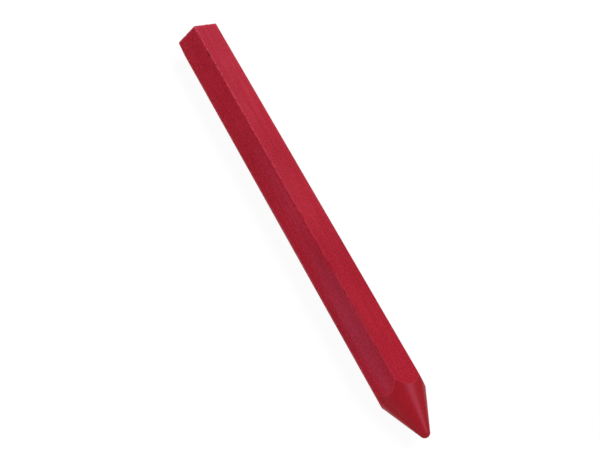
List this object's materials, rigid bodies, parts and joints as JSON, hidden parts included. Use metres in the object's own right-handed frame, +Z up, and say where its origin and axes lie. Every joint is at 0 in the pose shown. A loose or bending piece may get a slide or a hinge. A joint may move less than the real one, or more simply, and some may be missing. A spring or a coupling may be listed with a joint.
{
  "type": "lumber marking crayon",
  "caption": "Hexagonal red marking crayon for timber: a hard wax core in a thin lacquer coat, cut square at the butt and turned to a blunt cone at the point.",
  "frame": {"origin": "on the surface that the crayon lies on, under the middle of its length", "axes": "+X along the crayon towards its point, +Z up, square to the flat that it lies on"},
  "size_m": [0.12, 0.0118, 0.0103],
  "materials": {
    "marking_wax": "turned pigmented wax, satin, with fine rings from the cutter",
    "red_lacquer": "thin red lacquer over drawn wax, satin, with fine lines along the stick and rubbed ridges"
  },
  "bodies": {
    "root": {"wax_core": "marking_wax", "lacquer_coat": "red_lacquer"}
  },
  "joints": []
}
